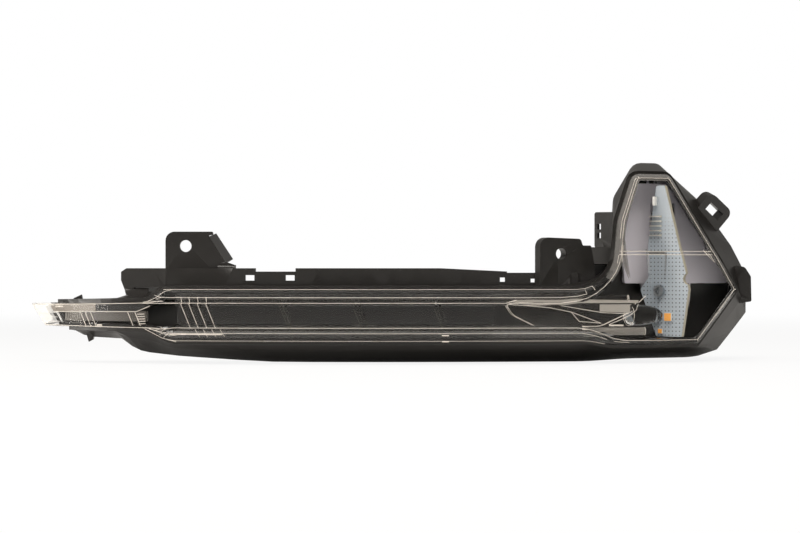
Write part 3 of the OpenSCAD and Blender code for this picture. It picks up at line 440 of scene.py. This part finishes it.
# %% Metals
def metal(name, colour, least, most):
    finish, tree, shader = new_finish(name)
    shader.inputs["Metallic"].default_value = 1.0
    gloss = place_group(tree, gloss_group, Scale=900.0, Least=least, Most=most)
    link(tree, gloss.outputs["Roughness"], shader.inputs["Roughness"])
    bump = place_group(tree, grain_group, Scale=4000.0, Strength=0.15)
    link(tree, bump.outputs["Normal"], shader.inputs["Normal"])
    specks = place_group(tree, specks_group, Scale=3000.0, Amount=0.3)
    darker = tuple(c * 0.7 for c in colour)
    speckled = blend_colours(tree, specks.outputs["Mask"], colour, darker)
    link(tree, speckled, shader.inputs["Base Color"])
    return finish

tinned = metal("tinned", (0.9, 0.88, 0.82), 0.3, 0.45)
screw_grey = metal("screw_grey", (0.42, 0.45, 0.48), 0.35, 0.5)
print("after the metals:", len(bpy.data.materials), "finishes")

# %% [markdown]
# ## The circuit board's finish
#
# The board is pressed from glass and resin, which shows beige at its cut edges, and its faces
# wear a grey-blue resist. Rows of small plated holes carry heat to the back. The pattern follows
# the board, so a Mapping node first turns the coordinates to lie along it. A Voronoi texture
# without randomness is then an even grid of cells, and each cell's middle becomes a hole with a
# thin pale ring.

# %% Board finish
board_turn = math.radians(36)
board_origin = Vector((161.8, 7.0, 0)) * MM
via_pitch = 1.36 * MM
hole_inside, hole_outside, ring_outside = 0.14, 0.26, 0.32  # as shares of a cell
pale_resist, dark_resist = (0.41, 0.455, 0.5), (0.33, 0.385, 0.44)
ring_colour, hole_colour, glass_beige = (0.5, 0.52, 0.54), (0.1, 0.11, 0.125), (0.5, 0.46, 0.36)

def board_finish():
    """Low on the board the holes are dark, and towards its top they fade under a painted sheen."""
    finish, tree, shader = new_finish("board_resist")
    place = tree.nodes.new("ShaderNodeTexCoord")
    turned = tree.nodes.new("ShaderNodeMapping")
    turned.vector_type = "TEXTURE"
    turned.inputs["Location"].default_value = board_origin
    turned.inputs["Rotation"].default_value = (math.radians(90), 0, -board_turn)
    link(tree, place.outputs["Object"], turned.inputs["Vector"])
    grid = tree.nodes.new("ShaderNodeTexVoronoi")
    grid.voronoi_dimensions = "2D"
    grid.inputs["Scale"].default_value = 1 / via_pitch
    grid.inputs["Randomness"].default_value = 0
    link(tree, turned.outputs["Vector"], grid.inputs["Vector"])
    hole = ramp(tree, grid.outputs["Distance"], hole_inside, hole_outside, 1.0, 0.0)
    ring = maths(tree, "LESS_THAN", grid.outputs["Distance"], ring_outside)
    height = tree.nodes.new("ShaderNodeSeparateXYZ")
    link(tree, place.outputs["Object"], height.inputs[0])
    # Painted sheen: the holes fade towards the board's top.
    clear_of_painted_sheen = ramp(tree, height.outputs["Z"], -2 * MM, 14 * MM, 1.0, 0.25)
    copper = tree.nodes.new("ShaderNodeTexNoise")
    copper.inputs["Scale"].default_value = 180
    link(tree, place.outputs["Object"], copper.inputs["Vector"])
    resist = blend_colours(tree, copper.outputs["Fac"], dark_resist, pale_resist)
    resist = blend_colours(tree, maths(tree, "MULTIPLY", ring, 0.4), resist, ring_colour)
    resist = blend_colours(tree, maths(tree, "MULTIPLY", hole, clear_of_painted_sheen), resist, hole_colour)
    normal = tree.nodes.new("ShaderNodeNewGeometry")
    facing = tree.nodes.new("ShaderNodeVectorMath")
    facing.operation = "DOT_PRODUCT"
    facing.inputs[1].default_value = (math.sin(board_turn), math.cos(board_turn), 0)
    link(tree, normal.outputs["True Normal"], facing.inputs[0])
    edge = maths(tree, "LESS_THAN", maths(tree, "ABSOLUTE", facing.outputs["Value"]), 0.7)
    link(tree, blend_colours(tree, edge, resist, glass_beige), shader.inputs["Base Color"])
    gloss = place_group(tree, gloss_group, Scale=300.0, Least=0.3, Most=0.42)
    link(tree, gloss.outputs["Roughness"], shader.inputs["Roughness"])
    bump = place_group(tree, grain_group, Scale=2200.0, Strength=0.2)
    link(tree, bump.outputs["Normal"], shader.inputs["Normal"])
    return finish

board_resist = board_finish()
print("via pitch:", via_pitch)

# %% [markdown]
# ## Dressing the moulded pieces
#
# The solids come as loose triangles, so each face would be shaded flat and the long bow would
# show its facets. A copy of the solid gets its doubles merged, which joins the triangles, and is
# then shaded smooth wherever two faces meet at less than a set angle. A copy can also have its
# creases rounded, because a moulded edge is never a knife edge, and a rounded one catches the
# light.

# %% Merge, round and smooth
merge_mm = 0.004
sharp_angle = math.radians(30)

def loose_copy(source, name):
    """A copy with its own mesh and none of the source's ties, selected and active."""
    deselect()
    piece = source.copy()
    piece.data = source.data.copy()
    piece.parent = None
    for key in list(piece.keys()):
        del piece[key]
    piece.name = name
    bpy.context.scene.collection.objects.link(piece)
    bpy.context.view_layer.objects.active = piece
    piece.select_set(True)
    return piece

def dressed_copy(node, finish, angle, crease=0.0, segments=2):
    """Smooth where faces meet at less than the angle, with creases of a radius in millimetres."""
    piece = loose_copy(nodes[node], node + "_dressed")
    piece.matrix_world = Matrix.Identity(4)
    bpy.ops.object.mode_set(mode="EDIT")
    bpy.ops.mesh.select_all(action="SELECT")
    bpy.ops.mesh.remove_doubles(threshold=merge_mm * MM)
    bpy.ops.object.mode_set(mode="OBJECT")
    piece.data.materials.clear()
    piece.data.materials.append(finish)
    if crease:
        round_edges = piece.modifiers.new("round", "BEVEL")
        round_edges.width = crease * MM
        round_edges.segments = segments
        round_edges.limit_method = "ANGLE"
        round_edges.angle_limit = sharp_angle
        round_edges.use_clamp_overlap = True
        bpy.ops.object.modifier_apply(modifier="round")
    bpy.ops.object.shade_smooth_by_angle(angle=math.radians(angle))
    evened = piece.modifiers.new("even", "WEIGHTED_NORMAL")
    evened.keep_sharp = True
    evened.weight = 80
    bpy.ops.object.modifier_apply(modifier="even")
    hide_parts(node)
    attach(piece, "root")
    return piece

# %% Lens, tub, trim, panel and guides
lens = dressed_copy("outer_lens", lens_clear, 12)
tub = dressed_copy("housing", tub_black, 14)
trim = dressed_copy("bar_bezel", trim_black, 30, 0.3, 3)
panel = dressed_copy("head_reflector", panel_grey, 30, 0.25, 2)
guides = {}
for name in ("upper_light_guide", "lower_light_guide", "tip_light_guide"):
    guides[name] = dressed_copy(name, guide_clear, 30)
for piece in (lens, tub, trim, panel):
    print(piece.name, "faces:", len(piece.data.polygons))

# %% [markdown]
# ## Second finishes on parts of a piece
#
# Some pieces need more than one finish. In the head, the lens's rim turns a half-milky grey, a
# painted sheen on the clear plastic, and its end at the thin tip gets a pale frosted finish as
# painted light. The tub's wall and ground in the head are grey like the panel that they frame. The
# lower guide's end and part of the tip's guide get a milky finish as painted light, and the rest
# of the tip's guide a smoky one as painted shade. Each face picks its finish by where it lies and
# where it looks.

# %% Lens and guides, by face
def second_finishes(piece, *finishes):
    for finish in finishes:
        piece.data.materials.append(finish)

clear_end_x, rim_start_x, rim_foot_z = -46.6 * MM, 141 * MM, -13 * MM
rim_turn = 0.75  # the rim's faces look less straight ahead than this
rod_end_x, flutes_end_x = 135.6 * MM, -34.5 * MM

# The rim's grey is a painted sheen, and the pale end at the tip is painted light.
second_finishes(lens, rim_painted_sheen, frost_painted_light)
for face in lens.data.polygons:
    in_head = face.center.x > rim_start_x and face.center.z > rim_foot_z
    face.material_index = 1 if in_head and abs(face.normal.y) < rim_turn else 0
    if face.center.x < clear_end_x:
        face.material_index = 2
rod, fluted = guides["lower_light_guide"], guides["tip_light_guide"]
# The milky end of the rod and of the tip's guide is painted light, and the smoky rest painted
# shade.
second_finishes(rod, milky_painted_light)
second_finishes(fluted, milky_painted_light, smoky_painted_shade)
for face in rod.data.polygons:
    face.material_index = 1 if face.center.x > rod_end_x else 0
for face in fluted.data.polygons:
    face.material_index = 1 if face.center.x < flutes_end_x else 2
print("second finishes:", [len(piece.data.materials) - 1 for piece in (lens, rod, fluted)])

# %% Tub, by face
head_middle_x, head_middle_z = 156, 6
window_left, window_top = 617, 172
corner_px, corner_py, right_slope = 676, 180, 0.617
foot_py, short_foot_py, short_from_px = 283, 255, 690

def beside_panel(face):
    """A face of the tub's wall or ground that is seen in the head, round the panel."""
    at = face.center / MM
    px, py = frame_place(at)
    depth = at.y - front_y(at.x)
    right = corner_px + (py - corner_py) * right_slope
    foot = foot_py if px < short_from_px else short_foot_py
    if not (window_left < px < right and window_top < py < foot):
        return False
    to_middle = face.normal.x * (head_middle_x - at.x) + face.normal.z * (head_middle_z - at.z)
    wall = to_middle > 0 and -0.9 < face.normal.y < 0.1 and 3 < depth < 24
    ground = face.normal.y < -0.6 and 21 < depth < 32
    return wall or ground and window_left + 7 < px < right - 8 and py > window_top + 12

second_finishes(tub, panel_grey)
for face in tub.data.polygons:
    face.material_index = 1 if beside_panel(face) else 0
print("grey faces:", sum(face.material_index for face in tub.data.polygons))

# %% [markdown]
# ## Bright creases
#
# Where two polished faces of clear plastic meet, the mould leaves a tiny radius, and it gathers
# light from all round. In the photograph these creases are the clearest thing about the lens:
# thin cream lines. They are far too fine to bevel evenly on a mesh whose faces differ so much in
# size. So the sharp edges of the face that looks outwards are picked from the mesh and turned
# into thin beads that lie on them, in a cream finish that is a painted highlight.

# %% Beads along picked edges
def round_curve(radius, finish):
    """The active curve as a mesh with a round section and closed ends."""
    curve = bpy.context.object.data
    curve.bevel_depth = radius * MM
    curve.bevel_resolution = 1
    curve.use_fill_caps = True
    bpy.ops.object.convert(target="MESH")
    piece = bpy.context.object
    piece.data.materials.clear()
    piece.data.materials.append(finish)
    bpy.ops.object.shade_smooth()
    return piece

def add_bead(source, name, finish, sharp, radius, keep):
    """A bead on each edge sharper than the angle, if keep says so of it."""
    bead = loose_copy(source, name)
    mesh = bmesh.new()
    mesh.from_mesh(bead.data)
    plain = [edge for edge in mesh.edges if len(edge.link_faces) != 2
             or edge.calc_face_angle() < math.radians(sharp) or not keep(edge)]
    bmesh.ops.delete(mesh, geom=plain, context="EDGES")
    bmesh.ops.delete(mesh, geom=mesh.faces[:], context="FACES_ONLY")
    mesh.to_mesh(bead.data)
    mesh.free()
    bpy.ops.object.convert(target="CURVE")
    bead = round_curve(radius, finish)
    bead.name = name
    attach(bead, "root")
    return bead

# %% Which edges get a bead
step_z, head_from_x, head_above_z, ends_from_x = -2.8, 130, -14, 102
bar_start_from_x, bar_start_to_x = -14, -1

def outer_crease(edge):
    """An edge of the lens's face. The step and the bar's start are drawn on their own."""
    ways = [face.normal.y for face in edge.link_faces]
    middle = (edge.verts[0].co + edge.verts[1].co) / (2 * MM)
    rise = abs(edge.verts[0].co.z - edge.verts[1].co.z) / edge.calc_length()
    in_head = middle.x > head_from_x
    on_step = in_head and abs(middle.z - step_z) < 2 and max(ways) < 0 and rise < 0.4
    at_start = bar_start_from_x < middle.x < bar_start_to_x and rise > 0.3
    least_turn = -0.55 if in_head and middle.z > head_above_z else -0.86
    return least_turn < max(ways) < 0.25 and min(ways) < -0.3 and not on_step and not at_start

def end_crease(edge):
    """The guides' edges near the board. The blades along the bar stay plain."""
    return all(corner.co.x > ends_from_x * MM for corner in edge.verts)

# %% Beads on the lens and the guides
creases = add_bead(lens, "lens_creases", cream_painted_highlight, 14, 0.085, outer_crease)
for name in ("upper_light_guide", "lower_light_guide"):
    add_bead(guides[name], name + "_creases", cream_painted_highlight, 35, 0.08, end_crease)
print(creases.name, "faces:", len(creases.data.polygons))

# %% [markdown]
# ## Ribs, lines and faces inside the clear plastic
#
# The lens is patterned on its inner face: four cranked ribs near the bar's start, and a comb and
# slanted ribs in the thin end. The step across the head shows as a double line on its outer face.
# Each is a fine rib, half sunk in the surface, and its cream or milky finish is a painted
# highlight. A curve through a few places of the photograph's frame, pushed back to the surface
# that it belongs to, gives its path, and a round section of about a tenth of a millimetre gives
# its body.

# %% Ribs from paths
def sample(path, spacing=4.0):
    """Points along a path of frame places, close enough to follow the lamp's curve."""
    points = [path[0]]
    for (ax, ay), (bx, by) in zip(path, path[1:]):
        pieces = max(1, round(math.hypot(bx - ax, by - ay) / spacing))
        points += [(ax + (bx - ax) * k / pieces, ay + (by - ay) * k / pieces)
                   for k in range(1, pieces + 1)]
    return points

def add_ribs(name, paths, surface, radius, finish):
    """Round ribs along paths that are given as places of the frame."""
    deselect()
    curve = bpy.data.curves.new(name, "CURVE")
    curve.dimensions = "3D"
    for path in paths:
        points = [photo_point(px, py, surface) * MM for px, py in sample(path)]
        spline = curve.splines.new("POLY")
        spline.points.add(len(points) - 1)
        for spot, point in zip(spline.points, points):
            spot.co = (*point, 1)
    ribs = bpy.data.objects.new(name, curve)
    bpy.context.scene.collection.objects.link(ribs)
    bpy.context.view_layer.objects.active = ribs
    ribs.select_set(True)
    ribs = round_curve(radius, finish)
    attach(ribs, "root")
    return ribs

# %% Ribs of the bar
lens_wall_mm = 2.0
inner_face = behind_front(lens_wall_mm)
facet = behind_front(3.2)
rib_tops = (181, 189, 197.5, 206)
cranked = [[(x + 0.7, 303.2), (x, 304.5), (x + 9.4, 327.8)] for x in rib_tops]
rib_ends = [[(x, 297.9), (x + 0.8, 302.9)] for x in rib_tops]
rib_ends += [[(x + 14.4, 328.8), (x + 18.6, 336.8)] for x in rib_tops]
add_ribs("cranked_ribs", cranked, inner_face, 0.1, cream_painted_highlight)
add_ribs("cranked_rib_ends", rib_ends, facet, 0.1, cream_painted_highlight)
faint = [[(278.5, 304.5), (288.6, 327.6)], [(281.6, 304.5), (291.7, 327.6)],
         [(353.5, 309), (361.6, 327.6)], [(434.4, 309), (442.4, 327.6)]]
add_ribs("faint_ribs", faint, inner_face, 0.06, milky_painted_light)
print("ribs of the bar:", len(cranked) + len(rib_ends) + len(faint))

# %% Ribs of the thin end
slanted = [[(x, 312.3), (x + 5.4, 325.8)] for x in (81.3, 85.9, 91.2, 128.1, 135.3)]
comb = [[(137.4 + 0.45 * k, 314.2 + 2.45 * k), (144.6 + 0.3 * k, 314.0 + 2.4 * k)]
        for k in range(5)]
stripe_rows = (313.6, 315.4, 317.2, 319.0, 320.8, 322.6)
stripes = [[(72.6, y), (80.2 + (y - 313.5) * 0.4, y)] for y in stripe_rows]
band_line = [[(55.4, 311.5), (136.8, 311.6), (150, 306.1)]]
end_glints = [[(57, 306.4), (64, 306.4)], [(97.6, 325), (102.4, 325)]]
add_ribs("thin_end_ribs", slanted + comb + band_line, inner_face, 0.11, cream_painted_highlight)
add_ribs("thin_end_stripes", stripes, behind_front(2.4), 0.07, milky_painted_light)
add_ribs("thin_end_glints", end_glints, inner_face, 0.3, cream_painted_highlight)
print("ribs of the thin end:", len(slanted) + len(comb) + len(stripes))

# %% Lines that lead from the thin end into the bar
leads = [
    [(148, 301.2), (156, 297.6), (164, 291.6), (172, 289.6)],
    [(144.6, 328.8), (162.5, 338.2), (176, 341.8)],
    [(147, 327.6), (166, 334.6), (176, 335.7)],
    [(142.5, 303.3), (160, 303.4), (178, 303.4)]]
glints = [[(170, 334.2), (222, 334.6)], [(442, 335.7), (449, 335.7)], [(442, 341.7), (449, 341.7)]]
add_ribs("leading_lines", leads, behind_front(0.6), 0.07, cream_painted_highlight)
add_ribs("lower_band_glint", glints, inner_face, 0.22, cream_painted_highlight)
print("lines:", len(leads), "glints:", len(glints))

# %% The double line of the step
step_mm, sunk_mm = 1.4, -0.03
lower_line, upper_line = [[(619.5, 254.6), (712, 254.8)]], [[(620, 251.3), (711, 251.5)]]
add_ribs("step_line_lower", lower_line, behind_front(sunk_mm), 0.13, cream_painted_highlight)
add_ribs("step_line_upper", upper_line, behind_front(step_mm + sunk_mm), 0.13, cream_painted_highlight)
print("step of", step_mm, "mm")

# %% [markdown]
# ## Faces at the end of the light guide
#
# Near the board the upper guide ends in a flat horn. Its top edge, a block and the curved edge
# that leads to the collimator catch the light, and that light is painted: the top edge and the
# block are thin faces in a pale cream finish as painted light, and the curved edge and the glints
# are lines of painted highlight. Each face is a grid that is drawn out to its outline and given a
# small thickness. Two more such faces line the thin end: a beige foil and a dark strip.

# %% Thin faces from outlines
def along(path, share):
    """The place at a share of the way through a path whose corners are evenly spread."""
    whole = share * (len(path) - 1)
    k = min(int(whole), len(path) - 2)
    part = whole - k
    return tuple(a + (b - a) * part for a, b in zip(path[k], path[k + 1]))

def add_face(name, top, foot, surface, thickness, finish, pieces=16):
    """A thin face between a top and a foot path, both given as places of the frame."""
    deselect()
    bpy.ops.mesh.primitive_grid_add(x_subdivisions=pieces, y_subdivisions=2, size=2)
    face = bpy.context.object
    face.name = name
    for vertex in face.data.vertices:
        across, up = (vertex.co.x + 1) / 2, (vertex.co.y + 1) / 2
        a, b = along(foot, across), along(top, across)
        vertex.co = photo_point(a[0] + (b[0] - a[0]) * up, a[1] + (b[1] - a[1]) * up, surface) * MM
    thick = face.modifiers.new("thick", "SOLIDIFY")
    thick.thickness = thickness * MM
    thick.offset = 0
    bpy.ops.object.modifier_apply(modifier="thick")
    bpy.ops.object.mode_set(mode="EDIT")
    bpy.ops.mesh.select_all(action="SELECT")
    bpy.ops.mesh.normals_make_consistent(inside=False)
    bpy.ops.object.mode_set(mode="OBJECT")
    face.data.materials.append(finish)
    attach(face, "root")
    return face

# %% Faces and edges of the horn
horn_start_x, horn_start_depth, horn_yaw = 104, 5, math.radians(11.4)
face_mm = 0.2

def horn_front(x):
    """A hair in front of the horn's flat side."""
    return front_y(horn_start_x) + horn_start_depth + (x - horn_start_x) * math.tan(horn_yaw) - 0.12

horn_top = add_face(
    "horn_top", [(512, 302.1), (526, 299.4), (575, 299.2), (638, 300.2)],
    [(512, 302.6), (526, 303), (575, 303), (638, 303)],
    horn_front, face_mm, horn_painted_light)
add_face(
    "horn_block", [(599.5, 304.3), (629.5, 304.3)], [(599.5, 311.6), (629.5, 312.8)],
    horn_front, face_mm, horn_painted_light, 8)
add_face(
    "horn_window", [(631, 304.3), (636, 304.3)], [(631, 310.6), (635, 310.6)],
    horn_front, face_mm, trim_black, 4)
horn_lines = [
    [(637.9, 304), (635.6, 310.5), (630, 315), (621, 319.4), (608.6, 324.6)],
    [(645.3, 295.9), (638.6, 302.4)],
    [(556, 304.8), (583, 309.4), (602, 312.6), (628, 313.8)],
    [(516.7, 304.9), (549, 307.6), (571, 312), (579, 321.4), (601, 323.2)],
    [(571, 312), (601, 323.2)]]
horn_glints = [
    [(609, 325.4), (623, 325.4)], [(582, 328.4), (590, 328.4)], [(535, 326.2), (542, 326.2)]]
add_ribs("horn_lines", horn_lines, horn_front, 0.11, cream_painted_highlight)
add_ribs("horn_glints", horn_glints, horn_front, 0.3, cream_painted_highlight)
print(horn_top.name, "faces:", len(horn_top.data.polygons))

# %% Faces of the thin end
behind_wall, foil_mm = behind_front(2.3), 0.15
add_face(
    "thin_end_shade", [(96.5, 304), (140, 304.2), (148.6, 306.2)],
    [(96.5, 311), (137, 311), (148.6, 306.6)], behind_wall, foil_mm, trim_black)
foil = add_face(
    "thin_end_foil", [(51.6, 304.1), (96.2, 304.1)], [(54.8, 311), (96.2, 311)],
    behind_wall, foil_mm, foil_beige)
print(foil.name, "faces:", len(foil.data.polygons))

# %% [markdown]
# ## The LEDs
#
# An LED of this size is a small white tray with a pool of amber silicone in it. A cube takes the
# tray's size, its front face is inset and pushed in, and the pool gets the amber finish. It is
# modelled lying square, then turned with the board.

# %% LED trays
pool_mm, meniscus_mm, swell_mm = 0.2, 0.12, 0.3
corner_mm, solder_mm = 0.08, 0.05

def add_led(name, node, spot, width, height, pool, shift):
    """A tray on a spot of the board. Its pool takes a share of it and may lie off centre."""
    deselect()
    bpy.ops.mesh.primitive_cube_add(size=1)
    tray = bpy.context.object
    tray.name = name
    tray.scale = (width * MM, height * MM, width * MM)
    bpy.ops.object.transform_apply(location=False, rotation=False, scale=True)
    bpy.ops.object.mode_set(mode="EDIT")
    bpy.ops.mesh.select_all(action="DESELECT")
    shape = bmesh.from_edit_mesh(tray.data)
    for face in shape.faces:
        face.select = face.normal.y < -0.9
    bmesh.update_edit_mesh(tray.data)
    bpy.ops.mesh.inset(thickness=(1 - pool) / 2 * width * MM, depth=0)
    bpy.ops.transform.translate(value=(shift * MM, pool_mm * MM, 0))
    bpy.ops.mesh.inset(thickness=meniscus_mm * MM, depth=0)
    bpy.ops.transform.translate(value=(0, -swell_mm * MM, 0))
    tray.data.materials.append(package_white)
    tray.data.materials.append(silicone_amber)
    shape = bmesh.from_edit_mesh(tray.data)
    for face in shape.faces:
        face.material_index = 1 if face.select else 0
    bmesh.update_edit_mesh(tray.data)
    bpy.ops.object.mode_set(mode="OBJECT")
    soften = tray.modifiers.new("soften", "BEVEL")
    soften.width = corner_mm * MM
    soften.segments = 2
    soften.limit_method = "ANGLE"
    bpy.ops.object.modifier_apply(modifier="soften")
    along_board = Vector((math.cos(board_turn), -math.sin(board_turn), 0))
    into_board = Vector((math.sin(board_turn), math.cos(board_turn), 0))
    tray.rotation_euler = (0, 0, -board_turn)
    standoff = height / 2 + solder_mm
    tray.location = (board_origin + along_board * spot[0] * MM - into_board * standoff * MM
                     + Vector((0, 0, spot[1] * MM)))
    bpy.ops.object.transform_apply(location=True, rotation=True, scale=False)
    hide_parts(node)
    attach(tray, "root")
    return tray

tray = add_led("main_led_tray", "main_led", (0, -23.8), 2.6, 0.9, 0.72, -0.3)
add_led("lower_led_tray", "lower_led", (-2.9, -28.6), 1.56, 0.9, 0.7, 0)

# %% [markdown]
# ## Finishes on the pieces that keep their solid
#
# The board, header, pins, screws and fleece have the right shape already. They only get a finish
# in place of their plain colour.

# %% Finishes on the other solids
def dress(finish, *names):
    for name in names:
        nodes[name].data.materials.clear()
        nodes[name].data.materials.append(finish)

dress(board_resist, "circuit_board")
dress(header_black, "pin_header")
dress(tinned, "connector_pins")
dress(screw_grey, "board_screws")
dress(fleece_white, "vent_membrane")
dress(chip_black, "driver_chip", "input_diode", "resistor_1", "resistor_2", "resistor_3")
dress(ceramic_tan, "capacitor_1", "capacitor_2")
dress(package_white, "head_led")
